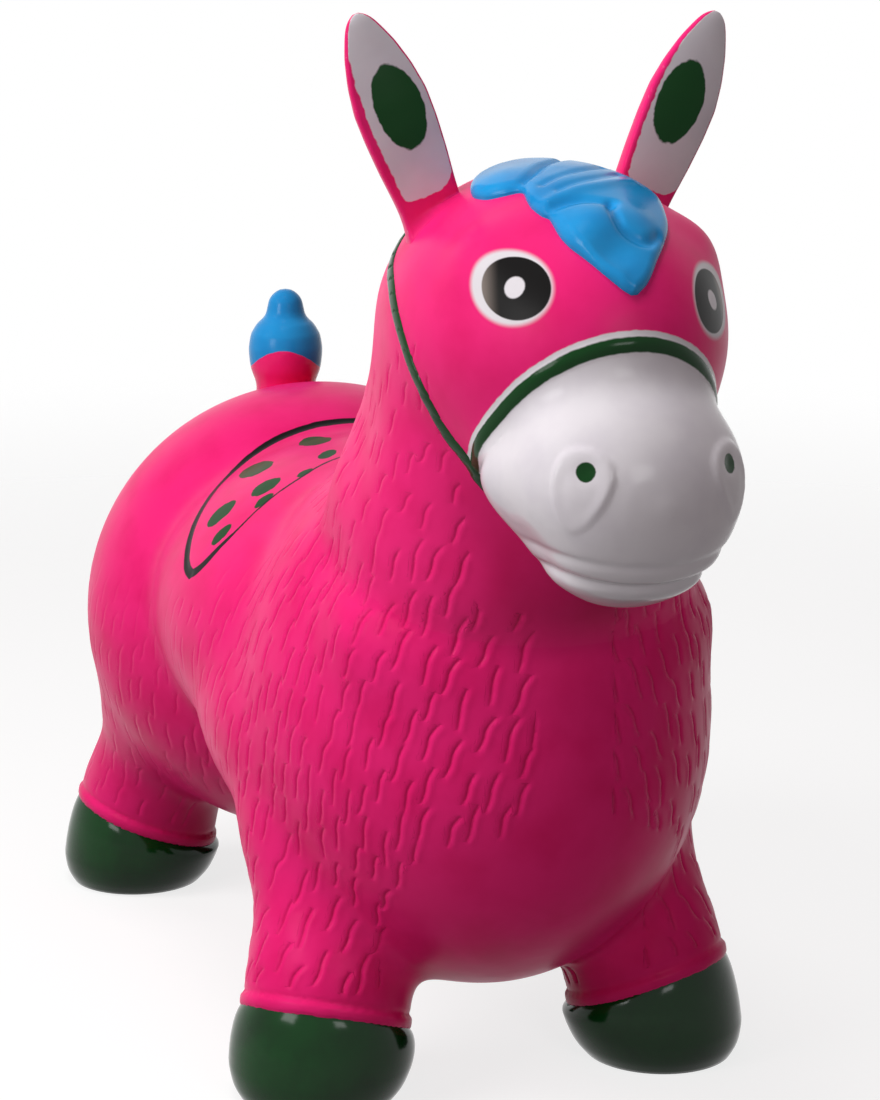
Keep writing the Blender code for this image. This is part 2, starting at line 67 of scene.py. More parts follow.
def addNode(mat, kind, inputs=None, **settings):
    node = mat.node_tree.nodes.new("ShaderNode" + kind)
    for name, value in settings.items():
        setattr(node, name, value)
    setInputs(mat, node, inputs or {})
    return node.outputs


def newMaterial(name, **sockets):
    mat = bpy.data.materials.new(name)
    mat.use_nodes = True
    shader = mat.node_tree.nodes["Principled BSDF"]
    setInputs(mat, shader, {socket.replace("_", " "): value for socket, value in sockets.items()})
    return mat, shader


def softPvc(name, specular):
    return newMaterial(name, IOR=1.53, Specular_IOR_Level=specular)


def smoothStep(value, low, high):
    t = np.clip((value - low) / (high - low), 0, 1)
    return t * t * (3 - 2 * t)


def bell(off, spread):
    return np.exp(-0.5 * (off / spread) ** 2)


def runLength(points):
    # how far along a line each of its points lies
    return np.concatenate([[0], np.cumsum(np.linalg.norm(np.diff(points, axis=0), axis=1))])


def nearestTree(points):
    tree = KDTree(len(points))
    for i, p in enumerate(points):
        tree.insert(p, i)
    tree.balance()
    return tree


def evenOut(rows):
    # each row moves halfway to the middle of its neighbours
    rows[1:-1] = 0.25 * rows[:-2] + 0.5 * rows[1:-1] + 0.25 * rows[2:]


def curveThrough(points, step):
    # an evenly spaced Catmull-Rom curve through the points
    p = np.array(points, float)
    p = np.vstack([2 * p[0] - p[1], p, 2 * p[-1] - p[-2]])
    found = []
    for a, b, c, d in zip(p, p[1:], p[2:], p[3:]):
        for t in np.linspace(0, 1, 24, endpoint=False):
            found.append(0.5 * (2 * b + (c - a) * t + (2 * a - 5 * b + 4 * c - d) * t ** 2
                                + (3 * b - a - 3 * c + d) * t ** 3))
    found.append(p[-2])
    found = np.array(found)
    along = runLength(found)
    even = np.linspace(0, along[-1], max(2, int(along[-1] / step) + 1))
    return np.column_stack([np.interp(even, along, found[:, k]) for k in range(found.shape[1])])


def makePiece(name, points, faces, mat, normals=None, fields=None):
    mesh = bpy.data.meshes.new(name)
    faces = [list(map(int, f)) for f in faces]
    mesh.from_pydata((np.asarray(points, float) * mm).tolist(), [], faces)
    mesh.polygons.foreach_set("use_smooth", np.ones(len(mesh.polygons), bool))
    for field, values in (fields or {}).items():
        values = np.asarray(values, np.float32)
        mesh.attributes.new(field, "FLOAT", "POINT").data.foreach_set("value", values)
    mesh.update()
    if normals is not None:
        mesh.normals_split_custom_set_from_vertices(normals.tolist())
    mesh.materials.append(mat)
    piece = bpy.data.objects.new(name, mesh)
    bpy.context.scene.collection.objects.link(piece)
    return piece


def loft(rings, startPole=None, endPole=None):
    # closed rings of equal count, joined by quads, with a point at either end where one is given
    count = len(rings[0])
    points = [p for ring in rings for p in ring]
    around = [(k, (k + 1) % count) for k in range(count)]
    faces = [(r * count + a, r * count + b, (r + 1) * count + b, (r + 1) * count + a)
             for r in range(len(rings) - 1) for a, b in around]
    if startPole is not None:
        points.append(startPole)
        faces += [(b, a, len(points) - 1) for a, b in around]
    if endPole is not None:
        points.append(endPole)
        last = (len(rings) - 1) * count
        faces += [(last + a, last + b, len(points) - 1) for a, b in around]
    return points, faces


def dress(piece, body, slot, *nodes):
    if body:
        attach(piece, body)
    if nodes:
        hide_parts(*nodes)


# materials: one skin of soft PVC, sprayed through masks with thin coloured lacquers

# pinkGrooveShade is painted shade: the darker pink laid into the fur grooves
lacquers = dict(
    pink="#EC2577", pinkDeep="#E21C6B", pinkGrooveShade="#B30E45", white="#DEDADF", whiteShade="#D4CFD6",
    black="#0A0808", green="#083D14", greenDeep="#052C0C", blue="#1F93D4", blueDeep="#1A84C6",
    taupe="#857A74", plug="#DAD7CC",
)
lacquer = {name: hexColour(code) for name, code in lacquers.items()}
coat = dict(  # sizes and depths in mm
    peelSize=2.2, peelDepth=0.2, peelStrength=0.06, cloudSize=34.0, grooveDepth=0.38, brushedRoughness=0.15,
)


def sprayed(mat, shader, colour, roughness=(0.30, 0.40), grooved=None, glossy=None):
    # the mould's faint orange peel, and the uneven gloss of a thin sprayed coat
    place = addNode(mat, "TexCoord")["Object"]
    peel, cloud = (addNode(mat, "TexNoise", {"Vector": place, "Scale": 1 / (size * mm), "Detail": detail})[0]
                   for size, detail in ((coat["peelSize"], 2.0), (coat["cloudSize"], 3.0)))
    gloss = addNode(mat, "MapRange", {0: cloud, 1: 0.3, 2: 0.7, 3: roughness[0], 4: roughness[1]})[0]
    if glossy:  # brushed paint lies smoother than the sprayed pink
        gloss = addNode(mat, "Mix", {0: glossy, 2: gloss, 3: coat["brushedRoughness"]})[0]
    bump = addNode(mat, "Bump", {"Height": peel, "Strength": coat["peelStrength"],
                                 "Distance": coat["peelDepth"] * mm})[0]
    if grooved:  # the floor of each fur groove is cut a little sharper than the mesh can show
        bump = addNode(mat, "Bump", {"Height": grooved, "Distance": coat["grooveDepth"] * mm, "Normal": bump},
                       invert=True)[0]
    setInputs(mat, shader, {"Base Color": colour, "Roughness": gloss, "Normal": bump})


def clouded(mat, first, second, size=26.0):
    # two close tones drifting into each other, as the coat lies thicker and thinner
    place = addNode(mat, "TexCoord")["Object"]
    cloud = addNode(mat, "TexNoise", {"Vector": place, "Scale": 1 / (size * mm), "Detail": 3.0})[0]
    share = addNode(mat, "MapRange", {0: cloud, 1: 0.42, 2: 0.75})[0]
    return addNode(mat, "Mix", {0: share, 6: lacquer[first], 7: lacquer[second]}, data_type="RGBA")[2]


def paintShare(mat, field, edge, soft=0.35, wobble=0.0, wobbleSize=5.0, inside=True):
    # 1 where the field is below edge, in mm, up to a hand-masked edge
    value = addNode(mat, "Attribute", attribute_name=field)["Fac"]
    if wobble:
        place = addNode(mat, "TexCoord")["Object"]
        drift = addNode(mat, "TexNoise", {"Vector": place, "Scale": 1 / (wobbleSize * mm), "Detail": 2.0})[0]
        shift = addNode(mat, "MapRange", {0: drift, 1: 0.0, 2: 1.0, 3: -wobble, 4: wobble})[0]
        value = addNode(mat, "Math", {0: value, 1: shift}, operation="ADD")[0]
    ends = (1.0, 0.0) if inside else (0.0, 1.0)
    return addNode(mat, "MapRange", {0: value, 1: edge - soft, 2: edge + soft, 3: ends[0], 4: ends[1]},
                   interpolation_type="SMOOTHSTEP")[0]


def painted(mat, under, field, colour, edge, **kind):
    share = paintShare(mat, field, edge, **kind)
    return addNode(mat, "Mix", {0: share, 6: under, 7: colour}, data_type="RGBA")[2]


def furGroove(mat, width=0.75):
    # how deep a point lies in a fur groove, from its distance to the groove's middle in mm
    across = addNode(mat, "Attribute", attribute_name="furSide")["Fac"]
    square = addNode(mat, "Math", {0: across, 1: across}, operation="MULTIPLY")[0]
    power = addNode(mat, "Math", {0: square, 1: -1 / width ** 2}, operation="MULTIPLY")[0]
    profile = addNode(mat, "Math", {0: power}, operation="EXPONENT")[0]
    fade = addNode(mat, "Attribute", attribute_name="furFade")["Fac"]
    return addNode(mat, "Math", {0: profile, 1: fade}, operation="MULTIPLY")[0]


def pinkWithGrooveShade(mat, groove):
    # the pink coat, with painted shade: a darker pink laid into the fur grooves
    share = addNode(mat, "Math", {0: groove, 1: 0.35}, operation="MULTIPLY")[0]
    pink = clouded(mat, "pink", "pinkDeep")
    return addNode(mat, "Mix", {0: share, 6: pink, 7: lacquer["pinkGrooveShade"]}, data_type="RGBA")[2]


# soft PVC, rotational cast and sprayed pink: a deep even colour with a broad satin sheen
bodySkin, shader = softPvc("sprayedPinkPvc", 0.06)
groove = furGroove(bodySkin)
# painted shade: the pink is darkened along the fur grooves
colour = pinkWithGrooveShade(bodySkin, groove)
colour = painted(bodySkin, colour, "saddleDots", lacquer["green"], 0.0, wobble=1.6, wobbleSize=7.0)
colour = painted(bodySkin, colour, "saddleRear", lacquer["black"], 2.9, wobble=0.5, wobbleSize=9.0)
colour = painted(bodySkin, colour, "saddleFront", lacquer["black"], 2.6, wobble=0.4, wobbleSize=9.0)
sprayed(bodySkin, shader, colour, grooved=groove)

# the same skin on the head, with the masked paint of the eyes, muzzle and noseband
headSkin, shader = softPvc("sprayedHeadPvc", 0.12)
groove = furGroove(headSkin)
# painted shade: the pink is darkened along the fur grooves
colour = pinkWithGrooveShade(headSkin, groove)
colour = painted(headSkin, colour, "eyeRing", lacquer["white"], -0.6, soft=1.6)
iris = painted(headSkin, lacquer["taupe"], "eyeShade", lacquer["black"], -0.78, soft=0.34, inside=False)
colour = painted(headSkin, colour, "eyeIris", iris, 0.0, soft=0.4)
colour = painted(headSkin, colour, "eyeSpot", lacquer["white"], 5.0, soft=0.5)
white = clouded(headSkin, "white", "whiteShade")
colour = painted(headSkin, colour, "muzzlePaint", white, 0.0, wobble=0.5, inside=False)
colour = painted(headSkin, colour, "noseband", lacquer["green"], 2.6, wobble=0.3)
colour = painted(headSkin, colour, "nostril", lacquer["green"], 4.6, wobble=0.3)
shiny = paintShare(headSkin, "muzzlePaint", 0.0, inside=False)
sprayed(headSkin, shader, colour, roughness=(0.36, 0.46), grooved=groove, glossy=shiny)

# the same pink on the valve's seat, where nothing is painted over it
plainSkin, shader = softPvc("plainPinkPvc", 0.06)
sprayed(plainSkin, shader, clouded(plainSkin, "pink", "pinkDeep"))

# green lacquer over PVC: nearly black in the shade, with small hard highlights
hoofPaint, shader = softPvc("greenLacquerPvc", 0.18)
sprayed(hoofPaint, shader, clouded(hoofPaint, "green", "greenDeep"), roughness=(0.12, 0.15))

# blue lacquer over PVC: satin, a little darker where it gathers
manePaint, shader = softPvc("blueLacquerPvc", 0.14)
sprayed(manePaint, shader, clouded(manePaint, "blue", "blueDeep"), roughness=(0.17, 0.25))

# the tail's blue cap, masked with a wavy edge on the pink
tailPaint, shader = softPvc("blueCapPvc", 0.14)
colour = painted(tailPaint, clouded(tailPaint, "pink", "pinkDeep"), "capEdge",
                 clouded(tailPaint, "blue", "blueDeep"), 0.0, wobble=0.5, inside=False)
sprayed(tailPaint, shader, colour, roughness=(0.18, 0.26))

# the ears: pink backs, white fronts, green ovals, all brushed by hand up to ragged edges
earPaint, shader = softPvc("paintedEarPvc", 0.1)
colour = painted(earPaint, clouded(earPaint, "pink", "pinkDeep"), "earFace",
                 clouded(earPaint, "white", "whiteShade"), 0.0, wobble=1.0, wobbleSize=4.0, inside=False)
colour = painted(earPaint, colour, "earOval", lacquer["green"], 0.0, wobble=0.9, wobbleSize=5.0)
sprayed(earPaint, shader, colour)

# unpainted PVC of the air plug: milky and a little waxy
plugPvc, shader = newMaterial("naturalPvc", IOR=1.53, Subsurface_Weight=0.15, Subsurface_Scale=2 * mm)
sprayed(plugPvc, shader, clouded(plugPvc, "plug", "whiteShade", size=6.0), roughness=(0.38, 0.5))
print("materials ready")


# the skin's form: swellings and limbs run together, as the blown-up cast is

skinForm = dict(
    voxel=3.1, passes=90,  # mm, and smoothing passes that let the swellings flow into each other
    swellings=dict(  # half sizes, centre, tilt
        chest=((116.5, 140, 141), (0, -68.5, 183), 0.0),
        barrel=((125, 184, 94), (0, 49, 202), 0.0),
        rump=((135, 121.5, 130.5), (0, 182, 177), 0.0),
        head=((77, 113, 76.5), (0, -161.2, 383), -6.3),
        muzzle=((55.5, 49, 52.5), (0, -255, 328.3), -6.9),
        girth=((124, 165, 92), (0, -20, 172), 11.0),
    ),
    neck=[((0, -124, 300), 88), ((0, -150, 385), 75)],
    frontRoot=((66, -62, 130), 54), rearRoot=((70, 190, 150), 59),
)
hoofShape = dict(
    soleX=92, frontY=-102, rearY=254.5, height=39.5, leanIn=8, leanToBelly=6,
    frontSeam=(15, 17), rearSeam=(20, -5),
    steps=96, widest=18,  # mm above the floor
    foot=[(11.4, 0), (23.56, 0), (34.96, 0), (37.43, 0), (38, 0.12), (39.5, 2.0), (41.4, 4.7), (42.4, 6.4),
          (43.4, 8.6), (44.4, 11.5), (45.4, 15), (45.9, 18)],  # radius, height
    wall=[(46.1, 0.2), (45.9, 0.4), (45.3, 0.58), (44.5, 0.72), (43.5, 0.83), (42.3, 0.92), (41.1, 0.98),
          (40.2, 1.0), (39.0, 0.97)],  # radius, share of the way up to the seam
)
legShape = dict(
    ankle=42.5, shin=38.5, shinHeight=92,
    ankleAt=1.3, shinAt=0.38,  # shares of the hoof's height and of the leg
    reach=52, top=118, footReach=75,  # mm from the sole's middle, for what belongs to the leg
)
feet = [(end, word, side) for end in ("front", "rear") for word, side in sides.items()]


def hoofPlace(end, side):
    # the sole's centre, the lean of the hoof per mm of height, and the slant of its upper seam
    front = end == "front"
    sole = np.array([side * hoofShape["soleX"], hoofShape["frontY" if front else "rearY"], 0.0])
    lean = np.array([-side * tan(radians(hoofShape["leanIn"])),
                     (1 if front else -1) * tan(radians(hoofShape["leanToBelly"])), 1.0])
    out, ahead = hoofShape["frontSeam" if front else "rearSeam"]
    slope = np.array([side * tan(radians(out)), -tan(radians(ahead))])
    return sole, lean, slope


def ballMesh(rings=28, steps=56):
    turn = np.linspace(0, 2 * pi, steps, endpoint=False)
    levels = np.linspace(-pi / 2, pi / 2, rings + 1)[1:-1]
    balls = [np.column_stack([cos(a) * np.cos(turn), cos(a) * np.sin(turn), np.full(steps, sin(a))])
             for a in levels]
    points, faces = loft(balls, startPole=np.array([0, 0, -1.0]), endPole=np.array([0, 0, 1.0]))
    return np.array(points), faces


ballPoints, ballFaces = ballMesh()


def addSwelling(form, centre, half, tilt=0.0):
    turn = np.array(Matrix.Rotation(radians(tilt), 3, "X"))
    form.append((ballPoints * half) @ turn.T + np.array(centre))


def addLimb(form, knots):
    for (a, ra), (b, rb) in zip(knots, knots[1:]):
        for t in np.linspace(0, 1, 14):  # close enough to melt into one limb
            addSwelling(form, Vector(a).lerp(Vector(b), t), ra + (rb - ra) * t)


def makeForm():
    form = []
    for half, centre, tilt in skinForm["swellings"].values():
        addSwelling(form, centre, half, tilt)
    addLimb(form, skinForm["neck"])
    for end, word, side in feet:
        sole, lean, slope = hoofPlace(end, side)
        (x, y, z), rootRadius = skinForm[end + "Root"]
        root = np.array([side * x, y, z])
        foot = sole - lean * hoofShape["height"]
        ankle = sole + lean * hoofShape["height"] * legShape["ankleAt"]
        shin = ankle + (root - ankle) * legShape["shinAt"]
        shin[2] = legShape["shinHeight"]
        addLimb(form, [(foot, legShape["ankle"]), (ankle, legShape["ankle"]),
                       (shin, legShape["shin"]), (root, rootRadius)])
    mesh = bpy.data.meshes.new("form")
    count = len(ballPoints)
    faces = [[k + i * count for k in f] for i in range(len(form)) for f in ballFaces]
    mesh.from_pydata(np.vstack(form).tolist(), [], faces)
    blown = bpy.data.objects.new("form", mesh)
    bpy.context.scene.collection.objects.link(blown)
    join = blown.modifiers.new("join", "REMESH")
    join.mode = "VOXEL"
    join.voxel_size = skinForm["voxel"]
    soften = blown.modifiers.new("soften", "SMOOTH")
    soften.factor = 0.5
    soften.iterations = skinForm["passes"]
    refine = blown.modifiers.new("refine", "SUBSURF")
    refine.levels = refine.render_levels = 1
    bpy.context.view_layer.update()
    done = bpy.data.meshes.new_from_object(blown.evaluated_get(bpy.context.evaluated_depsgraph_get()))
    bpy.data.objects.remove(blown, do_unlink=True)
    return done


def vectorsOf(items, name):
    flat = np.empty(len(items) * 3, np.float32)
    items.foreach_get(name, flat)
    return flat.reshape(-1, 3).astype(float)


formMesh = makeForm()
skin = vectorsOf(formMesh.vertices, "co")
skinNormal = vectorsOf(formMesh.vertex_normals, "vector")
quads = np.empty(len(formMesh.loops), np.int32)
formMesh.loops.foreach_get("vertex_index", quads)
quads = quads.reshape(-1, 4)
print("skin form:", len(skin), "points")


def swell(height):
    skin[:] += skinNormal * np.asarray(height)[:, None]


def refreshNormals():
    formMesh.vertices.foreach_set("co", skin.astype(np.float32).ravel())
    formMesh.update()
    skinNormal[:] = vectorsOf(formMesh.vertex_normals, "vector")


def near(centre):
    return np.linalg.norm(skin - np.asarray(centre, float), axis=1)


def oval(outer, inner, top, bottom):
    # distance past an oval given by its four ends, in mm, and the place across it from -1 to 1
    centre = (outer + inner + top + bottom) / 4
    axes = np.column_stack([(inner - outer) / 2, (top - bottom) / 2])
    share = (skin - centre) @ np.linalg.pinv(axes).T
    size = np.linalg.norm(axes, axis=0).mean()
    past = (np.linalg.norm(share, axis=1) - 1) * size
    close = near(centre) < 2.2 * size
    return np.where(close, past, farOff), np.where(close, share[:, 0], farOff)


def mirrored(points, side):
    return np.array([(-side * x, y, z) for x, y, z in points])  # points are taken on the animal's right


def addField(name, past):
    # keeps the nearest of the shapes that share a field
    fields[name] = np.minimum(fields.get(name, farOff), past)


def swellBoth(place, spread, height):
    # a rounded swelling, or a hollow, at the same place on either side
    for side in sides.values():
        swell(height * bell(near(mirrored([place], side)[0]), spread))
    refreshNormals()


def pastSwelling(swelling):
    half, centre, tilt = swelling
    q = (skin - np.array(centre)) @ np.array(Matrix.Rotation(radians(tilt), 3, "X")) / np.array(half)
    k = np.linalg.norm(q, axis=1)
    return k * (k - 1) / np.linalg.norm(q / np.array(half), axis=1)


def pastLimb(knots):
    (a, ra), (b, rb) = ((np.array(p, float), r) for p, r in knots)
    t = np.clip((skin - a) @ (b - a) / ((b - a) @ (b - a)), 0, 1)
    return np.linalg.norm(skin - a - t[:, None] * (b - a), axis=1) - (ra + (rb - ra) * t)


# the throat runs down into the chest without a fold
throatShape = dict(
    level=246, spread=21.0, fill=(6.0, 11.0), toFlank=(20, 70), sideFade=(84, 108), front=(95, 150),
)
middle, flank = throatShape["fill"]
offMiddle = np.abs(skin[:, 0])
fill = middle + (flank - middle) * smoothStep(offMiddle, *throatShape["toFlank"])
fill *= (1 - smoothStep(offMiddle, *throatShape["sideFade"])) * smoothStep(-skin[:, 1], *throatShape["front"])
swell(fill * bell(skin[:, 2] - throatShape["level"], throatShape["spread"]))
refreshNormals()

# the neck is drawn in above the shoulders, which swell to meet it
napeShape = dict(  # place, spread, height
    neck=((-84, -118, 338), 28.0, -9.0), shoulder=((-88, -92, 296), 20.0, 4.5),
)
for bulge in napeShape.values():
    swellBoth(*bulge)

# the belly lies level round the air valve, whose seat stands out a little
valveBed = dict(y=76, level=106.2, flat=12, reach=38, hole=8.2, below=160)
off = np.hypot(skin[:, 0], skin[:, 1] - valveBed["y"])
share = (1 - smoothStep(off, valveBed["flat"], valveBed["reach"])) * (skin[:, 2] < valveBed["below"])
skin[:, 2] += share * (valveBed["level"] - skin[:, 2])
refreshNormals()

# brows stand a little proud over the eyes
browShape = dict(place=(-56, -214, 432), spread=13.0, height=5.5)
swellBoth(**browShape)

# the jaw fills the hollow behind the muzzle, and the muzzle narrows to the chin
jawShape = dict(fill=((-46, -226, 330), 13.0, 11.0), trim=((-46, -258, 300), 15.0, -6.0))
for bulge in jawShape.values():
    swellBoth(*bulge)

# eyes: a soft white ring, a black iris set towards the nose that pales to its outer side, and a white spot
eyePaint = dict(  # outer, inner, top and bottom end of each oval
    ring=[(-58.3, -218.9, 413), (-32.9, -251.6, 416.2), (-42.8, -227.8, 430.3), (-48.6, -243.7, 398.9)],
    iris=[(-55.3, -224.8, 413.5), (-34.2, -250.9, 415.9), (-42.5, -231.9, 427.7), (-47.1, -244.5, 401.9)],
    spot=[(-46, -238.5, 415.4)], leftDrop=(-4.5, -8, -8),  # the left eye was sprayed lower
)
fields = {"eyeShade": np.full(len(skin), farOff)}
for side in sides.values():
    drop = np.array(eyePaint["leftDrop"]) * (side > 0)
    ring, _ = oval(*(mirrored(eyePaint["ring"], side) + drop))
    iris, across = oval(*(mirrored(eyePaint["iris"], side) + drop))
    fields["eyeShade"] = np.where(iris < fields.get("eyeIris", farOff), across, fields["eyeShade"])
    addField("eyeRing", ring)
    addField("eyeIris", iris)
    addField("eyeSpot", near(mirrored(eyePaint["spot"], side)[0] + drop))

# muzzle: white paint up to a sagging edge, with the noseband as a low rounded band along it
muzzlePaint = dict(
    bandAt=4.7, bandHalf=2.6, bandHeight=0.9, bandRound=(0.8, 0.6), throatY=-203, chinZ=250, overNeck=3.0,
    plane=(-240, 360, 0.777, 0.629),  # across the nose: its place in y and z, and its slant
    edge=(49.6, 0.9, 0.055, 0.0005, 0.058),  # the paint's line there: top, start, lean, sag, sideways drift
)
planeY, planeZ, forward, upward = muzzlePaint["plane"]
edgeTop, start, lean, sag, drift = muzzlePaint["edge"]
offY, offZ = skin[:, 1] - planeY, skin[:, 2] - planeZ
ahead = -forward * offY - upward * offZ
down = edgeTop - (-upward * offY + forward * offZ)
edge = ahead - (-start - lean * down - sag * down ** 2 + drift * skin[:, 0])
face = np.minimum(pastSwelling(skinForm["swellings"]["head"]), pastSwelling(skinForm["swellings"]["muzzle"]))
onFace = face < pastLimb(skinForm["neck"]) + muzzlePaint["overNeck"]
onFace &= (skin[:, 1] < muzzlePaint["throatY"]) & (skin[:, 2] > muzzlePaint["chinZ"])
fields["muzzlePaint"] = np.where(onFace, edge, -farOff)
fields["noseband"] = np.where(onFace, np.abs(edge - muzzlePaint["bandAt"]), farOff)
outer, inner = muzzlePaint["bandRound"]
swell(muzzlePaint["bandHeight"] * smoothStep(-fields["noseband"], -muzzlePaint["bandHalf"] - outer, -inner))

# nostrils: raised pads that lean together at the top, each with a small green dot
nostrilShape = dict(
    centre=(-34.5, -287, 334.5), half=(14, 20), lean=16, height=1.4, reach=26,
    dot=(-32.7, -288.9, 343.1), dotDepth=0.9, dotSpread=3.0,
)
for side in sides.values():
    centre = mirrored([nostrilShape["centre"]], side)[0]
    outward = skinNormal[np.argmin(near(centre))]
    up = np.array([-side * sin(radians(nostrilShape["lean"])), 0, cos(radians(nostrilShape["lean"]))])
    up -= outward * (up @ outward)
    up /= np.linalg.norm(up)
    across = np.cross(up, outward)
    u = (skin - centre) @ across / nostrilShape["half"][0]
    v = (skin - centre) @ up / nostrilShape["half"][1]
    past = np.hypot(u * (1 - 0.35 * v), v)  # a drop that narrows downwards, with a rounded rim
    pad = smoothStep(-past, -1.0, -0.82) - 0.55 * smoothStep(-past, -0.85, -0.45)
    pad *= 0.35 + 0.65 * smoothStep(v, -0.9, 0.4)
    swell(np.where(near(centre) < nostrilShape["reach"], pad * nostrilShape["height"], 0))
    dot = near(mirrored([nostrilShape["dot"]], side)[0])
    addField("nostril", dot)
    swell(-nostrilShape["dotDepth"] * bell(dot, nostrilShape["dotSpread"]))

# lips: two creases round the front of the muzzle
mouthShape = dict(
    upper=(300.5, 0.0028, 0.8), lower=(290.5, 0.0035, 2.0), width=1.4,  # level, bow, depth
    lip=0.45, lipBelow=5, lipWidth=3.0, fadeFrom=-256, fadeTo=-232,  # the lip stands out under its crease
)
fade = 1 - smoothStep(skin[:, 1], mouthShape["fadeFrom"], mouthShape["fadeTo"])
for level, bow, depth in (mouthShape["upper"], mouthShape["lower"]):
    off = skin[:, 2] - (level + bow * skin[:, 0] ** 2)
    lip = mouthShape["lip"] * depth * bell(off + mouthShape["lipBelow"], mouthShape["lipWidth"])
    swell(fade * (-depth * bell(off, mouthShape["width"]) + lip))
refreshNormals()
print("face modelled")

# a rolled bead over each hoof, with a crease above it
beadShape = dict(height=6.6, stand=1.5, crease=0.5, creaseWidth=0.8, reach=62, top=100)
legField = np.full(len(skin), farOff)
for end, word, side in feet:
    sole, lean, slope = hoofPlace(end, side)
    axis = sole + lean * skin[:, 2:3]
    reach = np.linalg.norm((skin - axis)[:, :2], axis=1)
    seamZ = hoofShape["height"] + (skin[:, :2] - sole[:2]) @ slope
    over = (skin[:, 2] - seamZ) / np.sqrt(1 + slope @ slope)
    mine = (reach < beadShape["reach"]) & (skin[:, 2] < beadShape["top"])
    legField = np.where(mine, np.minimum(legField, over), legField)
roll = (legField - beadShape["height"] / 2) / (beadShape["height"] / 2)
above = legField - beadShape["height"] - beadShape["creaseWidth"]
swell(beadShape["stand"] * np.sqrt(np.clip(1 - np.abs(roll) ** 3, 0, 1))
      - beadShape["crease"] * bell(above, beadShape["creaseWidth"]))

# saddle: a half-round panel drawn on the back, ringed in black, with green dabs
saddlePaint = dict(  # the panel's edge from above, and the four ends of each dab
    rear=[(-116.1, 38), (-115.3, 48.5), (-110.8, 62.1), (-103.2, 77.2), (-92.5, 92.5), (-79, 108.5),
          (-64.3, 120), (-47.8, 126.2), (-30, 128.5), (-12.6, 129.6)],
    front=[(-116.1, 38), (-111.6, 28.3), (-98.3, 21.7), (-86.8, 22.6), (-74, 25.5), (-59.3, 29.2),
           (-42.9, 36), (-20, 40)],
    dabs=[[(-33.9, 111, 286.7), (-23, 88.2, 291.6), (-21.7, 113.5, 289), (-36, 84, 289.6)],
          [(-41.6, 52.8, 290.1), (-32, 50.8, 292.1), (-34.3, 58, 291.7), (-40.9, 43, 289.6)],
          [(-70.5, 98.9, 274.7), (-60.8, 74.6, 282.5), (-60.4, 93, 281), (-74, 75, 275.7)],
          [(-78.3, 49.3, 274.6), (-67.5, 37.9, 280.3), (-68.7, 49, 279.9), (-79.5, 37.4, 273.6)],
          [(-99.6, 61.2, 257.5), (-89.4, 48.3, 266.9), (-89.9, 59, 266.4), (-100.3, 48.4, 257.1)],
          [(-105.1, 34.5, 251.2), (-95.4, 29, 261), (-99.4, 37.5, 257.8), (-102.9, 29.6, 252.2)],
          [(-58.7, 34.5, 284), (-50.7, 33.1, 286.9), (-53, 37.8, 286.3), (-56.7, 29.7, 284.6)],
          [(-84.1, 29.3, 269.9), (-73.9, 27.2, 276.1), (-77.9, 32.3, 274.2), (-81.3, 23.9, 271.2)]],
    cornerZ=234, cornerFade=(10, 45, 1.6),  # the front line thins away from the corner
    lowest=222, span=(-10, 150),  # the part of the back in which distances are taken
    lineDepth=0.5, lineSpread=1.6,
)
first, last = saddlePaint["span"]
top = np.flatnonzero((skin[:, 2] > saddlePaint["lowest"]) & (skin[:, 1] > first) & (skin[:, 1] < last))
skinTree = BVHTree.FromPolygons(skin.tolist(), quads.tolist())


def dropped(x, y):
    # the point of the skin under a plan point, and the way it faces
    return [np.array(found) for found in skinTree.ray_cast(Vector((x, y, overhead)), Vector((0, 0, -1)))[:2]]


for name in ("rear", "front"):
    line = curveThrough(saddlePaint[name], 1.0)
    line = np.array([dropped(x, y)[0] for x, y in np.vstack([line, line[::-1] * (-1, 1)])])  # over both sides
    tree = nearestTree(curveThrough(line[::6], 0.8))
    field = np.full(len(skin), farOff)
    field[top] = [tree.find(p)[2] for p in skin[top]]
    fields["saddle" + name.title()] = field
fadeFrom, fadeTo, thinner = saddlePaint["cornerFade"]
corner = np.array([*saddlePaint["rear"][0], saddlePaint["cornerZ"]])
fromCorner = np.minimum(near(corner), near(corner * (-1, 1, 1)))
fields["saddleFront"] += thinner * smoothStep(fromCorner, fadeFrom, fadeTo)
for dab in saddlePaint["dabs"]:
    for side in sides.values():
        addField("saddleDots", oval(*mirrored(dab, side))[0])
swell(-saddlePaint["lineDepth"] * bell(fields["saddleRear"], saddlePaint["lineSpread"]))
refreshNormals()
print("saddle drawn")


# fur: S-shaped grooves cut in staggered rows, running down the coat
furShape = dict(
    across=9.6, along=17.0, length=20.0, width=1.1, depth=0.75,  # mm
    lip=0.45, lipAt=2.4, lipWidth=1.5,  # the raised edge beside a groove, its height as a share of the depth
    hook=4.4, tail=2.4, curl=1.7,  # how far the upper end turns forward and the lower end back, and how late
    neckZ=285, neckLength=0.7, reach=3.5, tries=42000, seed=11,  # grooves are shorter and fainter up the neck
)


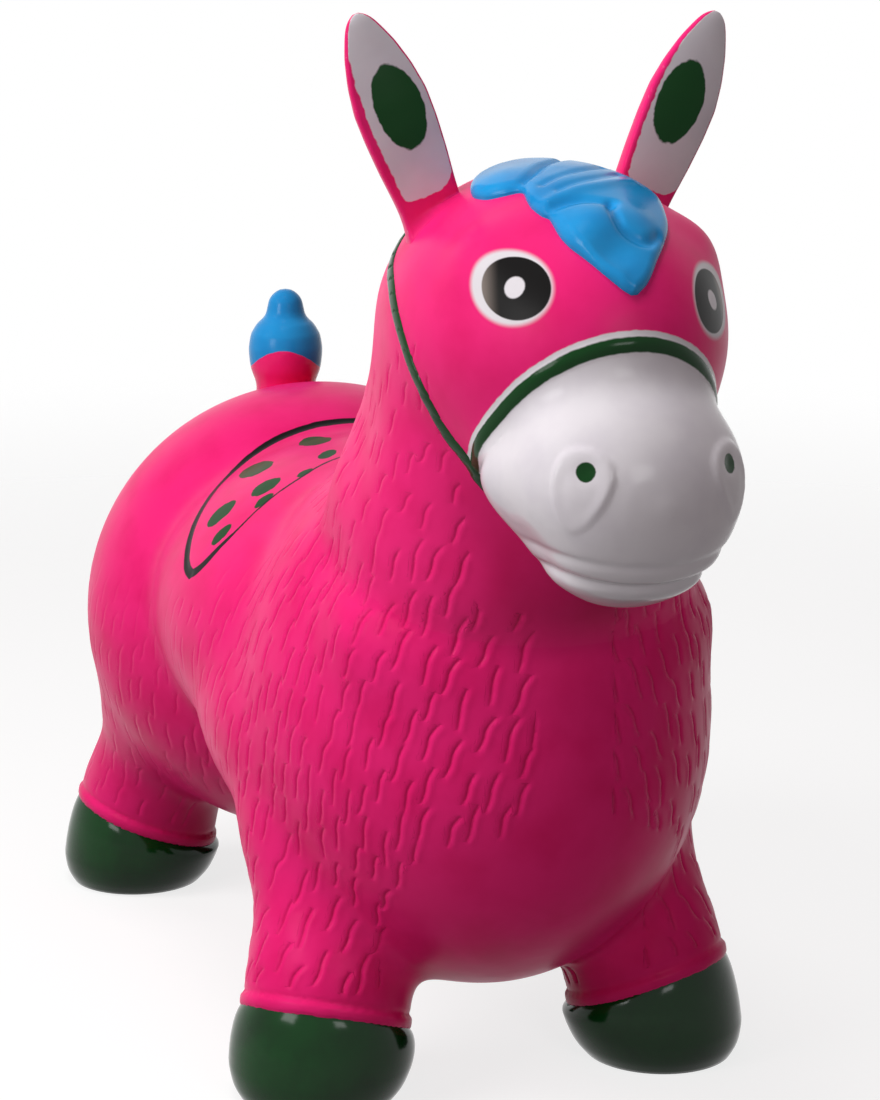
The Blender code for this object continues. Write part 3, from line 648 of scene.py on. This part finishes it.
def furZone():
    # how strongly the coat is marked: full on the chest, faint on the rump, none on the face, bib and saddle
    x, y, z = skin.T
    head = (z > 372 - 0.35 * (y + 150)) & (y < -60)
    face = (y < -196) & (z > 262)
    bib = (skinNormal[:, 1] < -0.35) & (np.abs(x) < 19 + 50 * smoothStep(-z, -165, -135)) & (z < 330)
    belly = skinNormal[:, 2] < -0.72
    saddle = (z > 215) & (y > 4) & (y < 134) & (np.abs(x) < 122) & (fields["saddleRear"] < farOff - 1)
    rump = smoothStep(y, 20, 75)
    strength = 0.42 + 0.58 * smoothStep(-y, 0, 90)
    strength *= 1 - rump + rump * smoothStep(-z, -225, -150)
    strength *= np.where(z > furShape["neckZ"], 0.7, 1 - smoothStep(skinNormal[:, 2], 0.35, 0.65))
    return np.where(head | face | bib | belly | saddle | (legField < 12), 0, strength)


def strokeFrames(points, normals):
    # grooves run down the coat, outwards over the chest and back over the flanks
    run = np.tile([0.0, 0.04, -1.0], (len(points), 1))
    run[:, 0] += 0.06 * np.sign(points[:, 0]) * smoothStep(-normals[:, 1], 0.3, 0.9)
    run[:, 1] += 0.3 * smoothStep(points[:, 1], 120, 290)
    run[:, 1] += np.where(normals[:, 2] > 0.75, 0.9, 0.0)
    run -= normals * np.sum(run * normals, axis=1)[:, None]
    run /= np.linalg.norm(run, axis=1)[:, None]
    return run, np.cross(normals, run)


def spreadStrokes(order, run, side):
    # keeps the points that have room for a groove, in the order they come
    along, across = furShape["along"], furShape["across"]
    grid, kept = {}, []
    around = [(a, b, c) for a in (-1, 0, 1) for b in (-1, 0, 1) for c in (-1, 0, 1)]
    for i, p in enumerate(skin[order]):
        key = tuple((p // along).astype(int))
        beside = [k for a, b, c in around for k in grid.get((key[0] + a, key[1] + b, key[2] + c), ())]
        if beside:
            off = skin[order[beside]] - p
            if np.any((off @ run[i] / along) ** 2 + (off @ side[i] / across) ** 2 < 1):
                continue
        grid.setdefault(key, []).append(i)
        kept.append(i)
    return kept


def layFur():
    fur = np.random.default_rng(furShape["seed"])
    strength = furZone()
    order = fur.permutation(np.flatnonzero(strength > 0.05))[:furShape["tries"]]
    run, side = strokeFrames(skin[order], skinNormal[order])
    kept = spreadStrokes(order, run, side)
    tree = nearestTree(skin)
    height = np.zeros(len(skin))
    furSide, furFade = np.full(len(skin), 9.0), np.zeros(len(skin))
    curl = furShape["curl"]
    for i in kept:
        centre, facing = skin[order[i]], skinNormal[order[i]]
        half = furShape["length"] / 2 * fur.uniform(0.8, 1.15)
        half *= furShape["neckLength"] if centre[2] > furShape["neckZ"] else 1
        turn = 1 if centre[0] < 0 else -1
        hook = turn * furShape["hook"] * fur.uniform(0.55, 1.3)
        tail = turn * furShape["tail"] * fur.uniform(0.2, 1.6)
        found = np.array([j for _, j, _ in tree.find_range(centre, 1.25 * half)])
        off = skin[found] - centre
        v = off @ run[i] / half
        upper, lower = np.clip(-v, 0, 2), np.clip(v, 0, 2)
        middle = hook * upper ** curl - tail * lower ** curl
        slope = (curl * hook * upper ** (curl - 1) + curl * tail * lower ** (curl - 1)) / half
        across = (off @ side[i] - middle) / np.sqrt(1 + slope ** 2)
        fade = np.clip(1 - np.abs(v) ** 3, 0, 1) ** 0.6 * (skinNormal[found] @ facing > 0.3) * strength[found]
        lip = np.exp(-((across * turn - furShape["lipAt"]) / furShape["lipWidth"]) ** 2)
        cut = (furShape["lip"] * lip - np.exp(-(across / furShape["width"]) ** 2)) * fade
        height[found] = np.where(np.abs(height[found]) > np.abs(cut), height[found], cut)
        close = fade * np.clip(1 - (across / furShape["reach"]) ** 2, 0, 1)
        better = close > furFade[found]
        furSide[found] = np.where(better, across, furSide[found])
        furFade[found] = np.where(better, close, furFade[found])
    fields["furSide"], fields["furFade"] = furSide, furFade
    swell(furShape["depth"] * height)
    return len(kept)


strokes = layFur()
refreshNormals()
print("fur:", strokes, "grooves")


# the skin is shown zone by zone, as the CAD divides it

zoneSeams = dict(waist=40, neck=((-114, 278), 21), muzzle=((-240, 360), 39), throat=-219, hoofLap=4.0)


def skinZones():
    mid = skin[quads].mean(axis=1)
    x, y, z = mid.T
    neckAt, neckTilt = zoneSeams["neck"]
    noseAt, noseTilt = zoneSeams["muzzle"]
    overNeck = -sin(radians(neckTilt)) * (y - neckAt[0]) + cos(radians(neckTilt)) * (z - neckAt[1])
    ahead = -cos(radians(noseTilt)) * (y - noseAt[0]) - sin(radians(noseTilt)) * (z - noseAt[1])
    isHead = overNeck > 0
    isMuzzle = isHead & (ahead > 0) & (y < zoneSeams["throat"])
    zones = {"muzzle": isMuzzle, "neck_and_head": isHead & ~isMuzzle}
    legs = np.zeros(len(mid), bool)
    kept = np.ones(len(mid), bool)
    for end, word, side in feet:
        sole, lean, slope = hoofPlace(end, side)
        reach = np.hypot(x - sole[0], y - sole[1])
        column = (reach < legShape["reach"]) & (z < legShape["top"])
        over = z - hoofShape["height"] - (mid[:, :2] - sole[:2]) @ slope
        kept &= ~((reach < legShape["footReach"]) & (over < -zoneSeams["hoofLap"]))
        zones[f"leg_{end}_{word}"] = column
        legs |= column
    kept &= z > 0
    kept &= ~((np.hypot(x, y - valveBed["y"]) < valveBed["hole"]) & (z < valveBed["below"]))
    trunk = ~isHead & ~legs
    zones["chest"] = trunk & (y < zoneSeams["waist"])
    zones["rump"] = trunk & (y >= zoneSeams["waist"])
    return {name: mask & kept for name, mask in zones.items()}


slots = {"muzzle": "white_paint"}
for zone, mask in skinZones().items():
    used, packed = np.unique(quads[mask], return_inverse=True)
    onHead = zone in ("muzzle", "neck_and_head")
    wanted = [f for f in fields if f.startswith("fur") or f.startswith("saddle") != onHead]
    piece = makePiece("skin_" + zone, skin[used], packed.reshape(-1, 4), headSkin if onHead else bodySkin,
                      skinNormal[used], {f: fields[f][used] for f in wanted})
    dress(piece, "body", slots.get(zone, "pink_pvc"), zone)
    print("skin zone", zone, len(piece.data.polygons), "faces")
skinTree = BVHTree.FromPolygons(skin.tolist(), quads.tolist())


# hooves: dipped green feet with a flat sole, a chamfer and full sides, up to a slanting seam

def makeHoof(end, word, side):
    sole, lean, slope = hoofPlace(end, side)
    angles = np.linspace(0, 2 * pi, hoofShape["steps"], endpoint=False)
    circle = np.column_stack([np.cos(angles), np.sin(angles)])
    profile = [(circle * r, np.full(len(angles), z)) for r, z in hoofShape["foot"]]
    for r, share in hoofShape["wall"]:
        seam = hoofShape["height"] + circle * r @ slope
        profile.append((circle * r, hoofShape["widest"] + (seam - hoofShape["widest"]) * share))
    rings = [np.column_stack([flat + np.outer(z, lean[:2]), z]) + sole for flat, z in profile]
    points, faces = loft(rings, startPole=sole)
    hoof = makePiece(f"hoof_{end}_{word}_lacquered", points, faces, hoofPaint)
    dress(hoof, "body", "green_paint", f"hoof_{end}_{word}")


for foot in feet:
    makeHoof(*foot)
print("hooves made")


# ears: leaves with a flat painted front, rooted on the head by a soft fillet

earShape = dict(  # degrees and mm, the lists by height along the ear from its foot
    foot=(50.4, -142, 439), splay=23.2, lean=-3.5, twist=2.0, length=97.4, fillet=9, corner=2.0, crown=1.3,
    width=[(4, 14.6), (10, 14.9), (26, 16.6), (41, 17.6), (55, 17.8), (68, 15.8), (80, 12.5), (89, 8.7),
           (93.5, 6.3), (96, 3.9), (97.2, 1.6)],
    thick=[(4, 15), (26, 14), (41, 13.3), (55, 11.5), (68, 9), (80, 6.5), (89, 4.9), (95, 3.4), (97.2, 1.6)],
    rows=58, tip=[91.2, 92.4, 93.5, 94.6, 95.5, 96.2, 96.8, 97.2], filletRows=12,  # where the rings lie
    oval=(2.2, 52, 11.5, 20),  # its shift to the middle, height, half width and half length
    faceFrom=9.5, inset=0.4,
    bare=dict(right=3.6, left=2.2), bareFade=(55, 92),  # the pink left beside the white
)


def makeEar(word, side):
    foot = np.array(earShape["foot"]) * (side, 1, 1)
    tilt, lean = radians(earShape["splay"]), radians(earShape["lean"])
    twist = side * radians(earShape["twist"])
    along = np.array([side * sin(tilt) * cos(lean), sin(lean), cos(tilt) * cos(lean)])
    flat = np.array([cos(tilt), 0, -side * sin(tilt)])
    deep = np.cross(along, flat)
    axes = np.array([flat * cos(twist) + deep * sin(twist), deep * cos(twist) - flat * sin(twist), along])
    heights = np.concatenate([np.linspace(4, 90, earShape["rows"]), earShape["tip"]])
    front = np.linspace(-1, 1, 41)
    bend = np.linspace(0, pi / 2, 9)[1:]
    back = np.linspace(0, pi, 41)[1:-1]

    def span(z):
        # half the width, and the thickness
        return [np.interp(z, *np.array(earShape[k]).T) for k in ("width", "thick")]

    def section(z):
        # a nearly flat front with small round corners, and a full back
        w, t = span(z)
        r = min(earShape["corner"], 0.45 * t, 0.45 * w)
        crown = earShape["crown"] * w / 18
        face = np.column_stack([front * (w - r), -t / 2 - crown * (1 - front ** 2)])
        right = np.column_stack([w - r + r * np.sin(bend), -t / 2 + r - r * np.cos(bend)])
        left = right[::-1] * (-1, 1)
        rear = np.column_stack([w * np.sign(np.cos(back)) * np.abs(np.cos(back)) ** 0.5,
                                -t / 2 + r + (t - r) * np.sin(back) ** 0.75])
        ring = np.vstack([face, right, rear, left])
        return np.column_stack([ring, np.full(len(ring), z)])

    start = section(heights[0])
    landing = []
    for p in start:
        flare = p.copy()
        flare[:2] *= 1 + earShape["fillet"] / max(np.hypot(p[0], p[1]), 1)
        flare[2] = -2
        hit = skinTree.find_nearest(Vector(foot + flare @ axes))
        landing.append((np.array(hit[0]) - 0.5 * np.array(hit[1]) - foot) @ axes.T)
    landing = np.array(landing)
    rings = []
    for t in np.linspace(1, 0, earShape["filletRows"], endpoint=False):
        ease = np.array([1 - cos(t * pi / 2), 1 - cos(t * pi / 2), sin(t * pi / 2)])
        rings.append(start + (landing - start) * ease)
    rings += [section(z) for z in heights]
    points, faces = loft(rings, endPole=np.array([0, 0, earShape["length"]]))
    local = np.array(points)
    grid = local[:-1].reshape(len(rings), -1, 3)
    for _ in range(3):  # evens the steps between the given widths
        evenOut(grid[earShape["filletRows"]:])
    x, y, z = local.T
    w, t = span(z)
    isFront = y < -t / 2 + 0.3
    corner = 8 * np.abs(x / w) ** 5  # the white's foot is rounded off
    bare = earShape["bare"][word] * (1 - smoothStep(z, *earShape["bareFade"]))
    face = np.minimum(w - x - earShape["inset"], w + x - earShape["inset"] - bare)
    face = np.minimum(face, z - earShape["faceFrom"] - corner)
    face = np.where(isFront, face, np.where(y < -t / 2 + 1.6, -0.6, -3.0))
    offX, midZ, halfX, halfZ = earShape["oval"]
    past = np.hypot((x + side * offX) / halfX, (z - midZ) / halfZ)
    ovalField = np.where(isFront, (past - 1) * halfX, 9.0)
    ear = makePiece(f"ear_{word}_painted", foot + local @ axes, faces, earPaint,
                    fields={"earFace": face, "earOval": ovalField})
    dress(ear, None, "pink_pvc", f"ear_{word}")
    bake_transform(ear)


for word, side in sides.items():
    makeEar(word, side)
print("ears made")


# forelock: a raised blue lock with lobed edges and combed creases

forelockShape = dict(
    rows=150, columns=84, stand=4.3, edgeRound=5.0,
    left=[(-146, -20), (-152, -31), (-160, -37), (-172, -40.5), (-184, -39), (-191, -34), (-195.5, -28.5),
          (-199, -27.2), (-206, -28.6), (-214, -29.3), (-222, -28), (-226, -26), (-230, -25.8), (-237, -25.5),
          (-244, -23.6), (-251, -19.5), (-256.5, -15.5), (-260.5, -11.8), (-264, -7.5), (-266, -3.5)],
    right=[(-146, -6), (-152, 3), (-160, 9), (-172, 16), (-184, 24), (-192, 28), (-207, 32), (-215, 31.5),
           (-227, 28.5), (-235, 26), (-242, 22.5), (-250, 17), (-256, 12), (-261, 7.5), (-264, 3.6),
           (-266, -1)],
    creases=[  # path, depth, width
        ([(-27.4, -196.4), (-19, -190), (-9, -178), (3, -166), (12, -156)], 2.4, 1.7),
        ([(-27, -226.4), (-22, -225), (-11, -226.5), (-1, -231.4)], 1.9, 1.9),
        ([(0.4, -231.4), (-2, -238.5), (-1.4, -246), (4, -250.5), (9.5, -251), (15, -247.5)], 2.2, 1.5),
        ([(-20, -206), (-8, -200), (6, -192), (16, -184)], 1.1, 1.5),
        ([(-16, -214.5), (-4, -210), (8, -204), (19, -195)], 0.9, 1.4)],
    ridges=[([(-24, -220.5), (-12, -218.5), (2, -215), (19.4, -206)], 1.1, 2.4),
            ([(-22, -247), (-15, -255), (-8, -262)], 0.9, 2.2)],
    domes=[(-11, -240.5, 9, 7.5, 3.8), (8.5, -240, 6, 7.5, 1.8), (-9, -254.5, 8, 4.5, -2.4),
           (-29, -176, 8, 10, 1.2), (-15, -208, 9, 7, 0.9)],  # x, y, spreads, height
)


def makeForelock(rows, columns, stand, edgeRound, left, right, creases, ridges, domes):
    def outline(points, ys):
        line = curveThrough(points, 0.5)
        return np.interp(-ys, np.maximum.accumulate(-line[:, 0]), line[:, 1])

    ys = np.linspace(left[0][0], left[-1][0], 300)
    along = runLength(np.array([dropped(-2, y)[0] for y in ys]))
    ys = np.interp(np.linspace(0, along[-1], rows), along, ys)  # even rows over the brow of the head
    x0, x1 = outline(left, ys), outline(right, ys)
    share = 0.5 - 0.5 * np.cos(np.linspace(0, pi, columns))
    plan = np.stack([x0[:, None] + (x1 - x0)[:, None] * share, np.repeat(ys[:, None], columns, 1)], axis=2)
    flat = plan.reshape(-1, 2)
    seat, up = (np.array(part) for part in zip(*(dropped(x, y) for x, y in flat)))
    grid = seat.reshape(rows, columns, 3)
    rim = np.vstack([grid[:, 0], grid[-1], grid[::-1, -1], grid[0, ::-1]])
    thirds = np.linspace(0, 1, 3, endpoint=False)[:, None]
    rim = np.vstack([a + (b - a) * thirds for a, b in zip(rim, rim[1:])])
    tree = nearestTree(rim)
    edge = np.array([tree.find(p)[2] for p in seat])
    body = np.clip(edge / edgeRound, 0, 1)
    height = np.sqrt(1 - (1 - body) ** 2) * stand
    shape = np.zeros(len(flat))
    for lines, sign in ((creases, -1), (ridges, 1)):
        for line, size, width in lines:
            path = curveThrough(line, 0.8)
            off = np.sqrt(np.min(((flat[:, None] - path[None]) ** 2).sum(axis=2), axis=1))
            shape += sign * size * bell(off, width)
    for x, y, spreadX, spreadY, size in domes:
        shape += size * bell(flat[:, 0] - x, spreadX) * bell(flat[:, 1] - y, spreadY)
    height = np.maximum(height + shape * body, 0.6 * body)
    points = seat + up * np.where(edge > 0.05, height, -0.8)[:, None]
    corners = [r * columns + c for r in range(rows - 1) for c in range(columns - 1)]
    faces = [(k, k + columns, k + columns + 1, k + 1) for k in corners]
    lock = makePiece("forelock_lacquered", points, faces, manePaint)
    dress(lock, "body", "blue_paint", "forelock")


makeForelock(**forelockShape)
print("forelock made")


# tail: a pink stub with a blue cap

tailShape = dict(
    y=246, steps=72,
    stub=[(24, 279), (20.5, 284), (18.2, 289), (17.3, 294), (17.9, 299), (20.2, 305.6), (21.2, 311)],
    tuft=[(21.2, 311), (21.6, 316), (21.5, 320), (20.4, 326), (18.7, 329.5), (16.5, 332.8), (14.2, 335),
          (12.3, 337.2), (11.2, 339.8), (10.5, 343), (9.6, 346.5), (8.0, 349.2), (5.6, 351.4),
          (3.4, 352.6)],
    peak=353.2,
    capLevel=313.3, capWave=6.0, capTurn=-110,  # the cap's edge rises and falls twice round the tail
)


def makeTail(y, steps, stub, tuft, peak, capLevel, capWave, capTurn):
    angles = np.linspace(0, 2 * pi, steps, endpoint=False)
    circle = np.column_stack([np.cos(angles), np.sin(angles), np.zeros(len(angles))])
    centre = np.array([0, y, 0])

    def turned(name, profile, pole=None):
        rings = [centre + circle * r + (0, 0, z) for r, z in curveThrough(profile, 0.9)]
        points, faces = loft(rings, endPole=pole)
        points = np.array(points)
        around = np.arctan2(points[:, 1] - y, points[:, 0]) - radians(capTurn)
        edge = points[:, 2] - capLevel - capWave * np.cos(2 * around)
        return makePiece(name, points, faces, tailPaint, fields={"capEdge": edge})

    dress(turned("tail_stub_skin", stub), "body", "pink_pvc", "tail_stub")
    tip = turned("tail_tuft_lacquered", tuft, centre + (0, 0, peak))
    dress(tip, "body", "blue_paint", "tail_tuft")


makeTail(**tailShape)
print("tail made")


# bridle: the cheek strap is a flat moulded band, marked with a slow twist and painted green
strapShape = dict(
    half=3.5, stand=1.5, sink=0.5, steps=22,
    taper=16, tip=0.35,  # mm, and the share of the width left at the ends
    pitch=11.0, mark=0.6, markWidth=0.035, slant=0.35,  # mm, then shares of the pitch
    path=[(-42.3, -203.7, 319.2), (-46, -203.1, 325.7), (-53.2, -201.6, 335.4), (-60, -196.8, 344),
          (-67.9, -191.9, 358.1), (-73.3, -184.2, 372.9), (-75, -171.4, 389.3), (-72.1, -151.9, 404.8),
          (-66, -130, 416), (-45, -112, 430), (-20, -103, 437), (0, -100, 439)],
)


def makeStrap(half, stand, sink, steps, taper, tip, pitch, mark, markWidth, slant, path):
    line = curveThrough(path + [(-x, y, z) for x, y, z in path[-2::-1]], 1.0)
    seat, up = (np.array(part) for part in list(zip(*(skinTree.find_nearest(Vector(p)) for p in line)))[:2])
    for _ in range(6):
        evenOut(seat)
        evenOut(up)
    run = np.gradient(seat, axis=0)
    run /= np.linalg.norm(run, axis=1)[:, None]
    across = np.cross(up, run)
    across /= np.linalg.norm(across, axis=1)[:, None]
    along = runLength(seat)
    sizes = np.minimum(1, tip + np.minimum(along, along[-1] - along) / taper)
    angles = np.linspace(0, 2 * pi, steps, endpoint=False)
    flat = np.sign(np.cos(angles)) * np.abs(np.cos(angles)) ** 0.8
    rings = []
    for p, u, a, size, s in zip(seat, up, across, sizes, along):
        twist = (s / pitch - slant * flat + 0.5) % 1 - 0.5  # each mark runs slantwise over the band
        rise = stand * np.sign(np.sin(angles)) * np.abs(np.sin(angles)) ** 0.7
        rise -= (np.sin(angles) > 0) * mark * np.exp(-(twist / markWidth) ** 2)
        rings.append(p - u * sink + np.outer(flat * half * size, a) + np.outer(rise, u))
    points, faces = loft(rings, startPole=rings[0].mean(axis=0), endPole=rings[-1].mean(axis=0))
    dress(makePiece("cheek_strap", points, faces, hoofPaint), "body", "green_paint")


makeStrap(**strapShape)
print("bridle made")

# the air plug and its seat keep their CAD shapes
for node, mat in (("valve_seat", plainSkin), ("valve_plug", plugPvc)):
    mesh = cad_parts[node].data
    mesh.materials.clear()
    mesh.materials.append(mat)


# studio: two broad lamps from the left and above, two small ones for the highlights,
# a pale floor in a white surround, and the camera where the photograph was taken
studio = dict(
    camera=(-0.5202, -1.4403, 0.5822), aim=(0.0187, 0.0298, 0.2399), roll=0.45, lens=123.4, sensor=36,
    floor="#848484", floorGlow=0.78, floorFade=(0.9, 2.2),
    floorHalf=2600, floorLevel=-0.4,  # mm, just clear of the soles
    ambient=0.07, ambientTint="#FFBEBC",  # dim, and a little warm from the room
    lamps=[  # name, place, aim, width, height, watts, shows in reflections
        ("leftPanel", (-1.32, 0.10, 1.25), (0, -0.02, 0.28), 0.7, 0.7, 16, False),
        ("topPanel", (-0.38, -0.30, 2.0), (0, -0.05, 0.28), 0.6, 0.6, 12.5, False),
        ("leftSoftbox", (-1.20, -0.46, 0.72), (0, -0.02, 0.2), 0.45, 0.38, 4.4, True),
        ("frontSoftbox", (0.04, -1.25, 0.72), (0, -0.05, 0.2), 0.34, 0.28, 1.9, True),
    ],
)


def aimed(place, aim):
    return (Vector(aim) - Vector(place)).to_track_quat("-Z", "Y")


def backgroundRays(mat):
    # 1 for what the camera sees, directly, mirrored or through the object
    rays = addNode(mat, "LightPath")
    seen = addNode(mat, "Math", {0: rays["Is Camera Ray"], 1: rays["Is Glossy Ray"]}, operation="MAXIMUM")[0]
    return addNode(mat, "Math", {0: seen, 1: rays["Is Transmission Ray"]}, operation="MAXIMUM")[0]


def makeStudio():
    scene = bpy.context.scene
    scene.view_settings.view_transform = "Standard"
    camera = bpy.data.objects.new("camera", bpy.data.cameras.new("camera"))
    scene.collection.objects.link(camera)
    camera.data.sensor_fit = "HORIZONTAL"
    camera.data.sensor_width = studio["sensor"]
    camera.data.lens = studio["lens"]
    camera.location = studio["camera"]
    turn = aimed(studio["camera"], studio["aim"]).to_matrix().to_4x4()
    camera.rotation_euler = (turn @ Matrix.Rotation(radians(studio["roll"]), 4, "Z")).to_euler()
    scene.camera = camera
    for name, place, aim, width, height, watts, shows in studio["lamps"]:
        lamp = bpy.data.objects.new(name, bpy.data.lights.new(name, "AREA"))
        scene.collection.objects.link(lamp)
        lamp.location = place
        lamp.rotation_euler = aimed(place, aim).to_euler()
        lamp.data.shape = "RECTANGLE"
        lamp.data.size, lamp.data.size_y = width, height
        lamp.data.energy = watts
        lamp.visible_glossy = shows
        lamp.visible_camera = False
    world = bpy.data.worlds.new("studio")
    world.use_nodes = True
    scene.world = world
    seen = backgroundRays(world)
    level = addNode(world, "MapRange", {0: seen, 3: studio["ambient"], 4: 1.0})[0]
    tint = addNode(world, "Mix", {0: seen, 6: hexColour(studio["ambientTint"]), 7: (1, 1, 1, 1)},
                   data_type="RGBA")[2]
    setInputs(world, world.node_tree.nodes["Background"], {"Color": tint, "Strength": level})

    floorMat, shader = newMaterial("paleFloor", Roughness=0.9)  # matt paper, fading into the white round it
    glow = addNode(floorMat, "MapRange", {0: backgroundRays(floorMat), 4: studio["floorGlow"]})[0]
    setInputs(floorMat, shader, {"Base Color": hexColour(studio["floor"]), "Emission Color": (1, 1, 1, 1),
                                 "Emission Strength": glow})
    place = addNode(floorMat, "TexCoord")["Object"]
    reach = addNode(floorMat, "VectorMath", {0: place}, operation="LENGTH")["Value"]
    inner, outer = studio["floorFade"]
    share = addNode(floorMat, "MapRange", {0: reach, 1: inner, 2: outer}, interpolation_type="SMOOTHSTEP")[0]
    clear = addNode(floorMat, "BsdfTransparent")[0]
    both = addNode(floorMat, "MixShader", {0: share, 1: shader.outputs[0], 2: clear})[0]
    setInputs(floorMat, floorMat.node_tree.nodes["Material Output"], {"Surface": both})
    half = studio["floorHalf"]
    corners = [(x * half, y * half, studio["floorLevel"]) for x, y in ((-1, -1), (1, -1), (1, 1), (-1, 1))]
    floor = makePiece("floor", corners, [(0, 1, 2, 3)], floorMat)


makeStudio()
print("studio ready")
